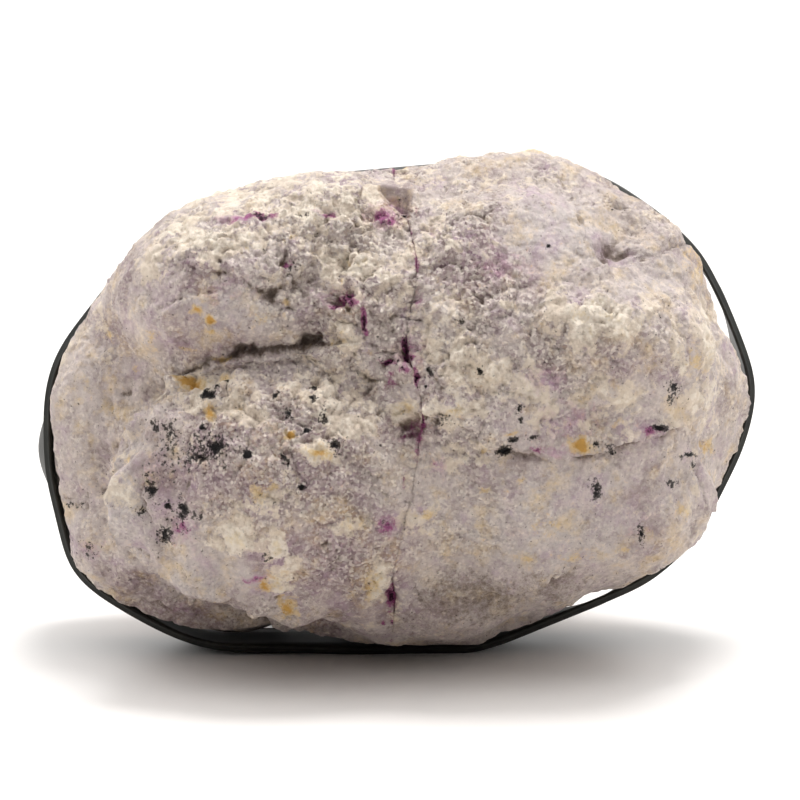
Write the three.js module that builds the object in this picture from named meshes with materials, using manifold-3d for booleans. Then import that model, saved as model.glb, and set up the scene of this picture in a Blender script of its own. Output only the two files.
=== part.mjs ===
// A dyed calcite geode: a lumpy nodule broken across its middle into two halves,
// held shut by a strip of black rubber stretched round it.
// Millimetres, +Z up. -Y is the face that shows the best lumps, +X is to its right.
// The origin lies on the surface that the geode stands on, under the middle of its box.
import * as THREE from "three";
import { ImprovedNoise } from "three/addons/math/ImprovedNoise.js";
import { mergeVertices } from "three/addons/utils/BufferGeometryUtils.js";
import Module from "manifold-3d";

const wasm = await Module();
wasm.setup();

// Driving dimensions of the stone
const FRONT_DEPTH = 20; // from the outline's plane to the front, without the lobes
const BACK_DEPTH = 34; // the same to the back
const FULLNESS = 2.2; // 2 is an ellipsoid's swell, more is boxier
const TOP_FALL = 0.3; // how steeply the top falls away behind the outline
const LEAN = THREE.MathUtils.degToRad(8); // how far the top leans back, away from -Y
const STRETCH = new THREE.Vector3(48, 36, 34); // spreads the facets evenly over the stone
const FACET_DETAIL = 17;
const CREASE = 1.6; // how softly two lobes run into each other
const SWELLS = [
  { size: 14, height: 1.1 },
  { size: 6.5, height: 0.9 },
];
const CALM = 9; // how far from the outline's plane the swells reach half their height

// Driving dimensions of the break between the halves and of the rubber band
const CRACK_GAP = 0.36;
const CRACK_RIPPLE = { size: 17, height: 1.3 };
const BAND_WIDTH = 14;
const BAND_THICKNESS = 1.3;
const BAND_FRONT = -6.5; // where the band's front edge crosses the seat, from the centre
const BAND_LEAN = THREE.MathUtils.degToRad(14); // how far the band's plane leans back
const BAND_TURN = THREE.MathUtils.degToRad(3); // how far its left end lies forward
const BAND_CLEARANCE = 0.3; // between the stretched rubber and the stone
const BAND_STATIONS = 4; // sections across the band's width
const BAND_SIDES = 64; // directions round the band
const SEAT_CUT = 1.3; // how much of the stone's lowest lumps is worn off where it sits
const SEAT = BAND_CLEARANCE + BAND_THICKNESS; // height of the worn seat above the surface

// The stone's outline seen square on, as [across, up] from its centre
const OUTLINE = [
  [48.3, 1.5], [46.8, 8.5], [40.3, 22.4], [32.4, 30.2], [25, 34], [16, 35], [7, 34],
  [-1.5, 32.2], [-15.5, 31.2], [-25.5, 28.3], [-33.5, 23], [-42.6, 12.2], [-47.2, 4],
  [-48.6, -5.5], [-46.8, -15], [-40, -26], [-28, -31.6], [-16, -32.2], [-8, -33.2], [4, -34.4],
  [13, -32.6], [25, -27.6], [35, -23.4], [42, -16.2],
];

// Rounded lobes that stand out of the outline's swell: middle as [across, back, up], then radii
const LOBES = [
  { name: "belly", at: [-12.5, -16, -11.5], radii: [27.2, 21.5, 18] },
  { name: "left shoulder", at: [-20, -6, 13], radii: [20, 24, 16] },
  { name: "shoulder lump", at: [-27.5, -19, 11.5], radii: [8, 7, 5] },
  { name: "left cap", at: [-9, -4, 20], radii: [19, 20, 12] },
  { name: "left of the break", at: [-4.5, -16, 8.5], radii: [11, 16, 14.5] },
  { name: "left end", at: [-36, 0, 0], radii: [12, 13, 13] },
  { name: "left end, lower", at: [-34, -4, -19], radii: [12, 13, 9] },
  { name: "right dome", at: [14, -7, 0], radii: [29.5, 28.5, 30] },
  { name: "right middle", at: [24, -15, 6], radii: [19, 20, 13] },
  { name: "right cap, outer", at: [30, -6, 18], radii: [13, 15, 12] },
  { name: "right lower", at: [24, -9, -14], radii: [19.5, 20, 11.5] },
  { name: "right foot", at: [3, -8, -24], radii: [16, 17, 10] },
  { name: "right end", at: [37, 2, 1], radii: [11, 15, 15] },
  { name: "back left", at: [-19, 14, 4], radii: [24, 24, 22] },
  { name: "back left end", at: [-38, 18, -5], radii: [14.3, 11, 12] },
  { name: "back left foot", at: [-21, 6, -18.5], radii: [19, 18, 15] },
  { name: "back right", at: [17, 15, 8], radii: [21, 22.5, 17] },
  { name: "back right end", at: [32, 11, -2], radii: [14.5, 16, 14] },
  { name: "back right foot", at: [14, 11, -16], radii: [20, 19, 14] },
  { name: "back top", at: [0, 9, 19], radii: [23, 17, 11] },
];

// Hollows pressed into the surface: middle as a direction, width and depth
const HOLLOWS = [
  { name: "right cap's pit", toward: [30, -15, 24], width: 3.4, depth: 2.4 },
  { name: "groove over the belly", toward: [-12, -29, 7.3], width: 2.6, depth: 1.8 },
  { name: "groove's middle", toward: [-17, -27, 7.4], width: 2.8, depth: 2 },
  { name: "groove's left end", toward: [-22.5, -25, 7.2], width: 2.8, depth: 2.4 },
  { name: "dent left of the belly", toward: [-38, -18, 1], width: 4, depth: 1.8 },
  { name: "left foot's hollow", toward: [-17, -14, -31], width: 4.5, depth: 2.4 },
  { name: "right foot's hollow", toward: [27, -6, -28], width: 5, depth: 2 },
  { name: "right side's dip", toward: [45, 3, 11], width: 6, depth: 1.4 },
  { name: "back's dent", toward: [-6, 34, 6], width: 6, depth: 2.6 },
  { name: "back's lower dent", toward: [2, 32, -14], width: 5, depth: 2.2 },
];

// Where the break runs down the front, as [up, across]
const BREAK_LINE = [
  [40, -1.5], [29, -0.4], [23, 2.1], [15, 2.6], [9, 1.2], [5, 1.4],
  [-2, 3.3], [-8, 2.4], [-14, 0.9], [-22, -0.4], [-29, -1.2], [-42, -0.6],
];

// Chips lost from the left half's broken rim: middle as [across, back, up], then radii
const CHIPS = [
  { name: "top notch", at: [-1.4, -15.5, 28.6], radii: [3.2, 4.5, 3.3] },
  { name: "middle chip", at: [0.8, -33.5, 7], radii: [1.8, 2.2, 2.3] },
];

const noise = new ImprovedNoise();

// Where a ray from the stone's centre leaves an ellipsoid, or 0 if it misses
function exitDistance(direction, at, radii) {
  const scaled = new THREE.Vector3(...radii);
  const d = direction.clone().divide(scaled);
  const o = new THREE.Vector3(...at).divide(scaled);
  const along = d.dot(o);
  const room = along * along - d.lengthSq() * (o.lengthSq() - 1);
  return room > 0 ? (along + Math.sqrt(room)) / d.lengthSq() : 0;
}

// The larger of two distances, rounded over where they are close
function softMax(a, b, softness) {
  const near = Math.max(softness - Math.abs(a - b), 0) / softness;
  return Math.max(a, b) + (near * near * softness) / 4;
}

// The outline's radius for an angle in its plane
function outlineRadius() {
  const corners = OUTLINE.map(([across, up]) => new THREE.Vector3(across, 0, up));
  const samples = new THREE.CatmullRomCurve3(corners, true, "centripetal").getPoints(360);
  const polar = samples.map((p) => ({ angle: Math.atan2(p.z, p.x), radius: Math.hypot(p.x, p.z) }));
  polar.sort((a, b) => a.angle - b.angle);
  return (angle) => {
    const after = polar.findIndex((p) => p.angle >= angle);
    const b = polar[after < 0 ? 0 : after];
    const a = polar[(after < 0 ? polar.length : after || polar.length) - 1];
    const turn = (x) => (x + 2 * Math.PI) % (2 * Math.PI);
    const share = turn(angle - a.angle) / (turn(b.angle - a.angle) || 1);
    return THREE.MathUtils.lerp(a.radius, b.radius, share);
  };
}

const radiusAt = outlineRadius();

// The stone's surface along a direction from its centre, before it leans
function surfaceDistance(direction) {
  const flat = Math.hypot(direction.x, direction.z);
  const depth = direction.y < 0 ? FRONT_DEPTH : BACK_DEPTH;
  const across = flat / radiusAt(Math.atan2(direction.z, direction.x));
  const through = Math.abs(direction.y) / depth;
  let r = Math.pow(across ** FULLNESS + through ** FULLNESS, -1 / FULLNESS);
  for (const { at, radii } of LOBES) {
    r = softMax(r, exitDistance(direction, at, radii), CREASE);
  }
  const point = direction.clone().multiplyScalar(r);
  for (const { toward, width, depth: dip } of HOLLOWS) {
    const middle = new THREE.Vector3(...toward).normalize().multiplyScalar(r);
    r -= dip * Math.exp(-point.distanceToSquared(middle) / (width * width));
  }
  const lively = 1 - Math.exp(-Math.LN2 * (point.y / CALM) ** 2);
  for (const { size, height } of SWELLS) {
    r += lively * height * noise.noise(point.x / size, point.y / size, point.z / size);
  }
  return r;
}

// A closed geometry whose position alone is kept, as a solid for joining and cutting
function solidFrom(geometry) {
  const bare = geometry.clone();
  bare.deleteAttribute("normal");
  bare.deleteAttribute("uv");
  const merged = mergeVertices(bare);
  return new wasm.Manifold(
    new wasm.Mesh({
      numProp: 3,
      vertProperties: new Float32Array(merged.attributes.position.array),
      triVerts: new Uint32Array(merged.index.array),
    }),
  );
}

// A solid's vertices as points
function pointsOf(solid) {
  const { vertProperties: v, numVert, numProp } = solid.getMesh();
  return Array.from({ length: numVert }, (_, i) => new THREE.Vector3().fromArray(v, i * numProp));
}

function geometryFrom(solid) {
  const { vertProperties, triVerts } = solid.getMesh();
  const geometry = new THREE.BufferGeometry();
  geometry.setAttribute("position", new THREE.Float32BufferAttribute(vertProperties, 3));
  geometry.setIndex(new THREE.Uint32BufferAttribute(triVerts, 1));
  geometry.computeVertexNormals();
  return geometry;
}

function boxSolid(low, high) {
  const size = new THREE.Vector3().subVectors(high, low);
  const middle = new THREE.Vector3().addVectors(low, high).multiplyScalar(0.5);
  return solidFrom(new THREE.BoxGeometry(...size.toArray()).translate(...middle.toArray()));
}

// Puts a geometry made round the stone's centre where the leaning stone stands
function leaningPlace(lift) {
  const lean = new THREE.Matrix4().makeRotationX(-LEAN);
  return new THREE.Matrix4().makeTranslation(0, 0, lift).multiply(lean);
}

// The whole nodule, before it was broken, round its own centre
function noduleGeometry() {
  const geometry = new THREE.IcosahedronGeometry(1, FACET_DETAIL);
  const position = geometry.attributes.position;
  const direction = new THREE.Vector3();
  for (let i = 0; i < position.count; i++) {
    direction.fromBufferAttribute(position, i).multiply(STRETCH).normalize();
    direction.multiplyScalar(surfaceDistance(direction));
    const height = 0.5 + (0.5 * direction.z) / STRETCH.z;
    direction.z -= TOP_FALL * height * Math.max(direction.y, 0);
    position.setXYZ(i, ...direction.toArray());
  }
  return geometry;
}

// Where the break lies across the stone, for a height and a depth
function breakAt() {
  const corners = BREAK_LINE.map(([up, across]) => new THREE.Vector3(across, 0, up));
  const samples = new THREE.CatmullRomCurve3(corners).getPoints(200);
  const { size, height } = CRACK_RIPPLE;
  return (back, up) => {
    const below = samples.findIndex((p) => p.z <= up);
    const across = samples[below < 0 ? samples.length - 1 : below].x;
    return across + height * noise.noise(back / size, up / size, size);
  };
}

// A block that holds all to the right of the break, moved by a shift across
function rightOfBreak(shift, reach = 60, rows = 40, columns = 16) {
  const geometry = new THREE.BoxGeometry(2 * reach, 2 * reach, 2 * reach, 1, columns, rows);
  const position = geometry.attributes.position;
  const across = breakAt();
  for (let i = 0; i < position.count; i++) {
    if (position.getX(i) > 0) continue;
    position.setX(i, across(position.getY(i), position.getZ(i)) + shift);
  }
  return geometry;
}

// The convex outline round points seen along Y, as the support point of each direction
function supports(points) {
  return Array.from({ length: BAND_SIDES }, (_, i) => {
    const angle = (2 * Math.PI * i) / BAND_SIDES;
    const out = new THREE.Vector3(Math.cos(angle), 0, Math.sin(angle));
    const far = points.reduce((best, p) => (p.dot(out) > best.dot(out) ? p : best));
    return { out, far };
  });
}

// A rubber strip stretched round a solid, spanning its hollows as a stretched band does
function bandGeometry(stone) {
  const reach = new THREE.Vector3(90, 0, 90);
  const step = BAND_WIDTH / (BAND_STATIONS - 1);
  const slope = Math.tan(BAND_LEAN);
  const turn = Math.tan(BAND_TURN);
  const shear = new THREE.Matrix4().makeShear(-turn, 0, 0, 0, 0, -slope);
  const level = solidFrom(stone.clone().applyMatrix4(shear));
  const vertices = [];
  for (let k = 0; k < BAND_STATIONS; k++) {
    const y = BAND_FRONT + k * step;
    const low = reach.clone().negate().setY(Math.max(y - step, BAND_FRONT));
    const high = reach.clone().setY(Math.min(y + step, BAND_FRONT + BAND_WIDTH));
    const slab = pointsOf(level.intersect(boxSolid(low, high)));
    for (const depth of [BAND_CLEARANCE, BAND_CLEARANCE + BAND_THICKNESS]) {
      for (const { out, far } of supports(slab)) {
        const x = far.x + out.x * depth;
        const z = far.z + out.z * depth;
        vertices.push(x, y + x * turn + z * slope, z);
      }
    }
  }
  const at = (k, outer, i) => (2 * k + outer) * BAND_SIDES + (i % BAND_SIDES);
  const faces = [];
  const quad = (a, b, c, d) => faces.push(a, b, c, a, c, d);
  const last = BAND_STATIONS - 1;
  for (let i = 0; i < BAND_SIDES; i++) {
    for (let k = 0; k < last; k++) {
      quad(at(k, 1, i), at(k + 1, 1, i), at(k + 1, 1, i + 1), at(k, 1, i + 1));
      quad(at(k, 0, i), at(k, 0, i + 1), at(k + 1, 0, i + 1), at(k + 1, 0, i));
    }
    quad(at(0, 0, i), at(0, 1, i), at(0, 1, i + 1), at(0, 0, i + 1));
    quad(at(last, 0, i), at(last, 0, i + 1), at(last, 1, i + 1), at(last, 1, i));
  }
  const geometry = new THREE.BufferGeometry();
  geometry.setAttribute("position", new THREE.Float32BufferAttribute(vertices, 3));
  geometry.setIndex(faces);
  return geometry;
}

// The nodule, standing on its worn seat
const nodule = noduleGeometry();
const upright = nodule.clone().applyMatrix4(leaningPlace(0));
upright.computeBoundingBox();
const place = leaningPlace(SEAT - SEAT_CUT - upright.boundingBox.min.z);
const floorBlock = boxSolid(new THREE.Vector3(-90, -90, -90), new THREE.Vector3(90, 90, SEAT));
const stone = solidFrom(nodule.applyMatrix4(place)).subtract(floorBlock);

// Its two halves, with the chips lost from the left one's rim
let left = stone.subtract(solidFrom(rightOfBreak(-CRACK_GAP / 2).applyMatrix4(place)));
const right = stone.intersect(solidFrom(rightOfBreak(CRACK_GAP / 2).applyMatrix4(place)));
for (const { at, radii } of CHIPS) {
  const chip = new THREE.IcosahedronGeometry(1, 4).scale(...radii).translate(...at);
  left = left.subtract(solidFrom(chip.applyMatrix4(place)));
}

const calcite = { color: 0xb9aba3, roughness: 0.75, metalness: 0 };
const rubber = { color: 0x22221f, roughness: 0.55, metalness: 0 };

function piece(name, geometry, finish) {
  const mesh = new THREE.Mesh(geometry, new THREE.MeshStandardMaterial(finish));
  mesh.name = name;
  return mesh;
}

const geode = new THREE.Group();
geode.add(
  piece("left_half", geometryFrom(left), calcite),
  piece("right_half", geometryFrom(right), calcite),
  piece("rubber_band", bandGeometry(geometryFrom(stone)), rubber),
);

// The origin goes under the middle of the whole geode
const middle = new THREE.Box3().setFromObject(geode).getCenter(new THREE.Vector3());
for (const mesh of geode.children) mesh.position.set(-middle.x, -middle.y, 0);

export default geode;
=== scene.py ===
"""A dyed calcite geode in two halves, held shut by a strip of rubber, on a plain pale stage."""

import math

import bpy
import numpy as np
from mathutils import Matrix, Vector
from mathutils.kdtree import KDTree


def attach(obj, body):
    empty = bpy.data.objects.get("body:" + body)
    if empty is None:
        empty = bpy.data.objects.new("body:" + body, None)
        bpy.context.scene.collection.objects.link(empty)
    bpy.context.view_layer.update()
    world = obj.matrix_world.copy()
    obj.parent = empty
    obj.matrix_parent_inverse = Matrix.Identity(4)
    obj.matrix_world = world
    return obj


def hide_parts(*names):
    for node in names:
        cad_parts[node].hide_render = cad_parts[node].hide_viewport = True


bl_info = {
    "name": "Calcite geode",
    "version": (1, 0, 0),
    "blender": (4, 5, 0),
    "location": "3D View > Sidebar > Geode",
    "description": "Builds the two broken halves of a dyed calcite geode and the rubber band round them",
    "category": "Object",
}

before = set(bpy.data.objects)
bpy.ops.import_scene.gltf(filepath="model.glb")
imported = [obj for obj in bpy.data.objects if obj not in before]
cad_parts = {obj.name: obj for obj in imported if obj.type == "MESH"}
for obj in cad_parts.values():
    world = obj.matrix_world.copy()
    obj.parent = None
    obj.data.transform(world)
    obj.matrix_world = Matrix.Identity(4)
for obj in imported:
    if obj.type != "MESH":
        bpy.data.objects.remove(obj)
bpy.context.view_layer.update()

# The stone's own frame, in millimetres: its centre, how far its face leans back, and how far in
# front of it an eye stands that looks square at the face.
CENTRE = np.array([1.31, 0.66, 35.14])
LEAN = math.radians(8)
EYE = 500.0
BACKWARD = np.array([0, math.cos(LEAN), -math.sin(LEAN)])
UPWARD = np.array([0, math.sin(LEAN), math.cos(LEAN)])

# The band's plane: how it slopes with height and turns with length, and where its edges lie.
BAND_SLOPE = math.tan(math.radians(14))
BAND_TURN = math.tan(math.radians(3))
BAND_EDGES = (-5.91, 8.09)

# Where the band hangs free: direction from its middle in radians, reach, how far it stands off, and
# how much further its back edge does.
BAND_FREE = [(0.27, 0.3, 1.5, 0.6), (5.5, 0.16, 0.0, 3.1)]

# The stage, in metres: the width that the picture shows at the stone's centre, the sensor's width in
# millimetres, and where the overhead light stands from the centre.
PICTURE_WIDTH = 0.11264
SENSOR_WIDTH = 36
LIGHT_FROM = (0.08, 0.22, 0.7)

# How the white tent round the stage brightens toward its back and top, how much more its sides and top
# give, and its least brightness, on the open side where the camera stands.
TENT_SLOPE = (0.0, 0.5, 0.25)
TENT_SIDES = (1.1, 0.0, 1.95)
TENT_LEAST = 0.03

FIRST_DETAIL = 1.4
BROKEN_DETAIL = 3.0
FLAT_FOOT = 1.65

# Crystals by kind, in millimetres: size, how far they are shaken out of place, deepest gap between
# them in sizes, middle level, share of the relief and seed.
CRYSTALS = {
    "clusters": (1.9, 0.6, 0.6, 0.25, 0.7, 3),
    "chunks": (4.2, 1.3, 0.4, 0.2, 1.5, 6),
    "single crystals": (0.95, 0.2, 0.5, 0.2, 0.5, 4),
}

# Ledges on the face: path as (across, up) from the centre, height and how far it fades out.
# The stone is higher on the left of the path.
LEDGES = [
    ("belly's upper rim", [(-9.2, 7.7), (-14.3, 7.2), (-22.6, 6.2), (-27.4, 4.6), (-31.9, 2.3),
                           (-33.7, -1.4), (-37.1, -4.5), (-39.4, -9.9), (-39.6, -14.1)], 2.2, 5),
    ("belly's lower rim", [(-39.6, -14.1), (-37.5, -19.6), (-33.3, -23.2), (-28.8, -26.6),
                           (-21.5, -26.6), (-19.5, -29.8), (-14.2, -31.8)], 2.1, 4),
    ("belly's inner rim", [(-32.4, -4.2), (-34.2, -8.5), (-34.6, -13), (-33.9, -17.5),
                           (-31.8, -21.5), (-28, -24.3)], 0.9, 4),
    ("right side's shelf", [(4.4, -5.1), (11.2, -6.5), (16.8, -7.2), (23.2, -8.2), (28.8, -7.3),
                            (33.7, -5.6), (38.8, -3.4)], 1.1, 3),
    ("right foot's shelf", [(11.2, -27.9), (19.6, -24.9), (26.7, -22.5), (33.7, -20.8),
                            (41.3, -16.9)], 1.4, 4),
    ("right plate's edge", [(40.8, -9.6), (42.6, -5.6), (42.2, 0), (40.8, 5.6), (37.7, 11)], 0.6, 4),
    ("ridge beside the pit", [(28.9, 19.4), (27, 23.1), (24.9, 27.3), (22.5, 31)], 0.7, 3),
    ("ledge under the pit", [(41.3, 22.1), (34.4, 20.3), (27.8, 18.6), (22.5, 15.8)], 0.7, 4),
    ("shoulder lump's rim", [(-16.3, 12.7), (-21.2, 14.1), (-27.5, 14.6), (-31.6, 14.1),
                             (-33.7, 10.6), (-33.3, 7.6)], 0.6, 3),
    ("step right of the break", [(3.2, -2), (7, -3.4), (10.6, -4.6)], 0.9, 3),
    ("left crust's lower edge", [(-27.8, 18.6), (-22.6, 17.5), (-18.7, 14.9), (-15.3, 16.9),
                                 (-12.5, 18.9), (-9.6, 15.2), (-6.8, 12.7)], 0.75, 3),
    ("patch over the groove", [(-3.2, 4.5), (-5.4, 5.9), (-8.5, 7), (-10.5, 6.8)], 0.4, 2.5),
]

# Pits in the face: across, up, radius, depth.
PITS = [
    (30.5, 22.8, 2, 1.3), (-22.6, 6.9, 1.5, 1.5), (-12.2, 7.6, 1.5, 1.5), (-20.3, 6.6, 1.1, 0.9),
    (-15.6, 19.4, 1.1, 1), (-18.4, 15.1, 1.4, 1.1), (-7.8, 14.4, 1.3, 1.2), (-6.5, 13.1, 1.1, 1.1),
    (-9.4, 13.8, 0.8, 0.8), (-38.1, 1.4, 1.4, 0.7), (-41.2, -0.3, 1.2, 0.6), (-39.2, -6.5, 1.7, 1.1),
    (-45.8, -14.1, 1.4, 0.8), (-42.9, -12.7, 1.1, 0.6), (1, 7.7, 1, 1.6),
    (0.8, 6.3, 0.9, 1.2), (-1.8, 5.1, 1, 0.9), (2, 3.2, 0.8, 1.2), (-1, 3, 1.2, 0.6),
    (1.5, -4.1, 1.6, 1.5), (5.1, -3, 1.1, 0.8), (-1.2, -27.9, 1.1, 1.1), (-10.6, 26.3, 0.8, 0.5),
    (-6.8, 25.1, 0.7, 0.7), (-13.4, 26, 0.8, 0.6), (-4.9, 11.5, 0.6, 0.5), (11.2, 14.1, 1.3, 0.5),
    (33.7, 26, 1.4, 0.6), (18.2, 9.9, 1.4, 0.4), (-25.4, 19, 1.3, 0.6), (-29.6, -11.3, 1.1, 0.4),
]

# Broad dents of the outline, where the stone stands clear of the band or falls away: across, up,
# half width, half height, depth.
DENTS = [
    (37, 27.5, 10, 8, 2.2), (41.5, 22.1, 4, 2.5, 0.9), (45.5, 13, 3, 4, 0.6), (23.5, -28.6, 3, 2.5, -0.6),
    (-15.6, -33, 4.5, 2, 1.5), (-42, 15.5, 4, 5, -1),
]

# Soft valleys of the face, and swellings where the depth is negative: the same numbers.
VALLEYS = [
    (-42.3, -6, 2.6, 8, 1.6), (-41.8, -17, 2.4, 5, 1.4), (-35.5, -26, 4, 2, 1.2), (-25, -30, 7, 2, 0.8),
    (-22, -9, 12, 11, -1.3), (1.5, -2, 3, 13, 1), (-24, 12, 9, 4.5, -1), (-31, 6, 6, 2.2, 0.9),
    (-17, 16.5, 7, 2.5, 0.8), (31, 21.5, 5, 3.5, 1.2), (15, 20, 7, 5, 0.7), (26, 10.5, 10, 4, -0.8),
    (20, -17, 15, 8, -0.9), (13, -28, 7, 2.5, 0.8),
]

# The oval in which the belly's left foot swells over the band's front edge.
LEFT_FOOT = (-31, -29.5, 11, 4)

# The smooth notch at the top of the break, a drop with its point down: its widest place across and
# up, half width, height above and below that, and how far the point lies to the right. Its back wall
# stands this far before the stone's middle plane at the top. An oval goes round it.
NOTCH = (-0.84, 29.3, 2.6, 1.6, 4.2, 1.85)
NOTCH_WALL = 12.0
ROUND_NOTCH = (-1.4, 28.6, 4.4, 4.4)

# How far each half's rim and broken face move toward the other half, and where the break gapes.
RIM_CLOSES = 0.178
FACE_CLOSES = 0.17
OPEN = [(0.9, 6.9, 1.1, 1.8, 1), (1.4, -4, 1.4, 2, 0.7), (-1.2, -27.8, 0.9, 2.3, 1)]

# Stains, crusts and tones on the face, and patches of painted shade: across, up, half width, half height,
# strength.
CHALK = [
    (-14.2, 27.5, 15.5, 3.9, 0.55), (-28.2, 22.5, 8.4, 4.2, 0.5), (16.8, 31.7, 14.1, 3.1, 0.2),
    (28.1, 11, 6.2, 3.7, 0.75), (42.2, 5.6, 4.2, 12.7, 0.5), (33.7, 15.5, 5.6, 2.8, 0.4),
    (-7.8, 9.2, 2.8, 2.8, 0.7), (7, -0.7, 4.2, 4.8, 0.75), (-22.6, -18.7, 3.6, 2.4, 1.2),
    (-18.3, -20.2, 3, 2.2, 1.1), (6, 8.5, 5, 4, 0.5), (-5, -3, 4, 3, 0.55), (-8, 4, 4, 2.5, 0.5),
    (-19.1, -15.2, 2.6, 2.6, 0.9),
    (-16.4, -24.4, 1.9, 2.6, 1.1), (-7.4, -17.6, 2.8, 1.8, 1),
    (-2.5, -26, 1.7, 2.5, 1), (9.8, -8.4, 5.6, 1.7, 0.5), (-11.3, -7.9, 2.3, 1.3, 1),
    (-0.1, -1.7, 2.3, 1.7, 0.8), (-5.7, 18.3, 5.6, 4.2, 0.6), (-19, 19, 6, 4, 0.45),
    (14, 2, 7, 5, 0.5), (18, -2.5, 6, 3, 0.4), (-22.6, 0.7, 7, 3.4, 0.6), (-37, -13, 2.8, 7, 0.85),
    (11.2, -16.9, 5.6, 2.8, 0.4), (22.5, -20.4, 7, 2.5, 0.45), (5.6, -16.9, 3.4, 2.8, 0.4),
    (-24, -22.5, 5.6, 2.3, 0.3), (-9.9, 0, 7, 4.2, 0.5), (30.9, -1, 6, 4.6, 0.45),
    (36.5, -14.1, 5.6, 5.6, 0.35), (22.5, 14.1, 5.6, 2.8, 0.4), (-42.3, 7, 5.6, 5.6, 0.4),
    (5.6, 22.5, 2.8, 5.6, 0.4), (2.7, -31, 8.4, 2.3, 0.3), (14, -28.2, 5.6, 2, 0.3),
]
COARSE = [
    (-9.9, 19.7, 12.7, 9.9, 1), (-17, 0, 15.5, 7, 1), (7, 14.1, 8.4, 15.5, 0.9),
    (-14.2, -11.3, 14.1, 8.4, 0.8), (-25.4, 21.1, 8.4, 5.6, 0.7), (16.8, 5.6, 11.3, 8.4, 0.7),
    (-5.7, 8.4, 8.4, 8.4, 1), (5.6, -4.2, 8.4, 5.6, 0.8), (28.1, 9.9, 8.4, 5.6, 0.6),
    (-35.3, -15.5, 4.2, 7, 0.2), (11.2, -16.9, 8.4, 5.6, 0.6), (-7, -22, 9, 5, 0.6),
]
LILAC = [
    (-19, -9, 15, 9, 0.9), (-27, 17, 6, 4, 0.9), (-41, 10, 6, 10, 0.25), (-8, 14, 6, 5, 0.6),
    (-9, -21, 12, 6, 1.1), (20, 0, 11, 6, 0.35), (12, 19, 8, 6, 0.8), (25.2, -13.4, 2.3, 2.5, 1.6),
    (-8, -30, 7, 3, 0.6), (-32, -27, 10, 4, 0.6), (31, 6, 8, 4, 0.6), (-43, -16, 5, 9, 0.3),
    (-20, 22, 8, 4, 0.4), (36, -16, 6, 6, 0.4), (3, 3, 5, 8, 0.35), (-27, 10.5, 7, 3.5, 0.8),
    (-20, 0, 11, 4, 0.4), (6, -22, 6, 3, 0.3), (-29, 7, 3, 2, 1.3), (-32, 7, 3, 2, 0.5),
    (0.5, -3.6, 2.4, 1.5, 1.3), (25.3, -12.7, 2.4, 2.2, 2),
]
CLEAR = [
    (33, 19, 8, 5, 1), (22, 24, 9, 6, 1), (20, -16, 15, 8, 1), (-24, 12.5, 8, 5, 0.9),
    (-36.5, -14, 4, 10, 1), (-42, 2, 5, 8, 0.7), (-28, -24, 9, 3, 0.9), (12, 29, 10, 3, 0.5),
    (-18, 3.5, 8, 3, 0.6), (12, -3, 5, 4, 0.5), (34, -12, 7, 5, 0.6),
]
# Painted shade: patches darkened brown, mostly along the bottom and in grooves and recesses
SHADE = [
    (-30, -29, 16, 4, 1), (-12, -31, 7, 3, 1), (20, -26, 9, 3, 1.2), (0, -33, 22, 3, 0.7),
    (-38, 0, 3, 4, 0.4), (-41, -7, 2.2, 6, 0.3), (-41.5, -15, 1.8, 5, 0.35),
    (31, 22, 4, 3, 0.5), (18, 29, 14, 4, 0.75), (1.4, -3.2, 3, 1.6, 0.8),
    (-17, 17, 8, 3, 0.3), (-2, 5, 4, 4, 0.4), (42, 9, 3, 8, 0.25),
    (11, -27.5, 9, 4.5, 1.4), (-9, -24, 11, 5, 0.5), (-27, -14, 7, 5, 0.25),
    (-24, 10.5, 8, 4, 0.35), (20, -24, 10, 4, 0.4),
]
DYE_CLOUDS = [
    (14, 19.4, 3.7, 2.5, 0.55), (20.3, 2.8, 3.9, 2.3, 0.5), (23.9, -2.8, 6.2, 3.4, 0.45),
    (35.1, -4.2, 2.3, 1.4, 0.5), (-8.5, 14.1, 4.2, 2, 0.5),
    (-24.7, 15.5, 5.6, 3.1, 0.35), (-30.3, -18, 2.3, 2, 0.6), (-20.2, -24.4, 2.3, 0.7, 0.8),
    (-31, -28.4, 1.4, 0.8, 0.6), (1.3, 7, 2.5, 3.4, 0.55), (-0.1, 5.6, 3.4, 2, 0.4),
    (1.6, -4.2, 2.3, 2.5, 0.5), (-1.8, 26.2, 2.6, 1.8, 0.85), (-22, 25.9, 3.4, 0.5, 1),
    (-10.5, 26.3, 1.7, 0.7, 0.6), (2.7, 14.1, 0.8, 1.4, 0.6), (4.2, 23.9, 2, 2, 0.35),
    (5.6, -9.2, 1.4, 1.1, 0.5), (-7.8, -9.9, 8.4, 4.2, 0.22), (-9.9, -22.5, 7, 3.4, 0.3),
    (-33.9, -11.3, 2.5, 4.2, 0.3), (-33.9, 21.1, 4.8, 2.8, 0.2), (22.5, -7.3, 2.8, 1.1, 0.6),
    (-1.6, -17.6, 1.7, 1.7, 0.6), (-43.7, -21.1, 2.8, 2, 0.4), (19.6, -29.6, 7, 2, 0.25),
    (8.4, -33.8, 7, 1.4, 0.3), (33.7, -17.6, 2.8, 2, 0.35),
]
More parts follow.
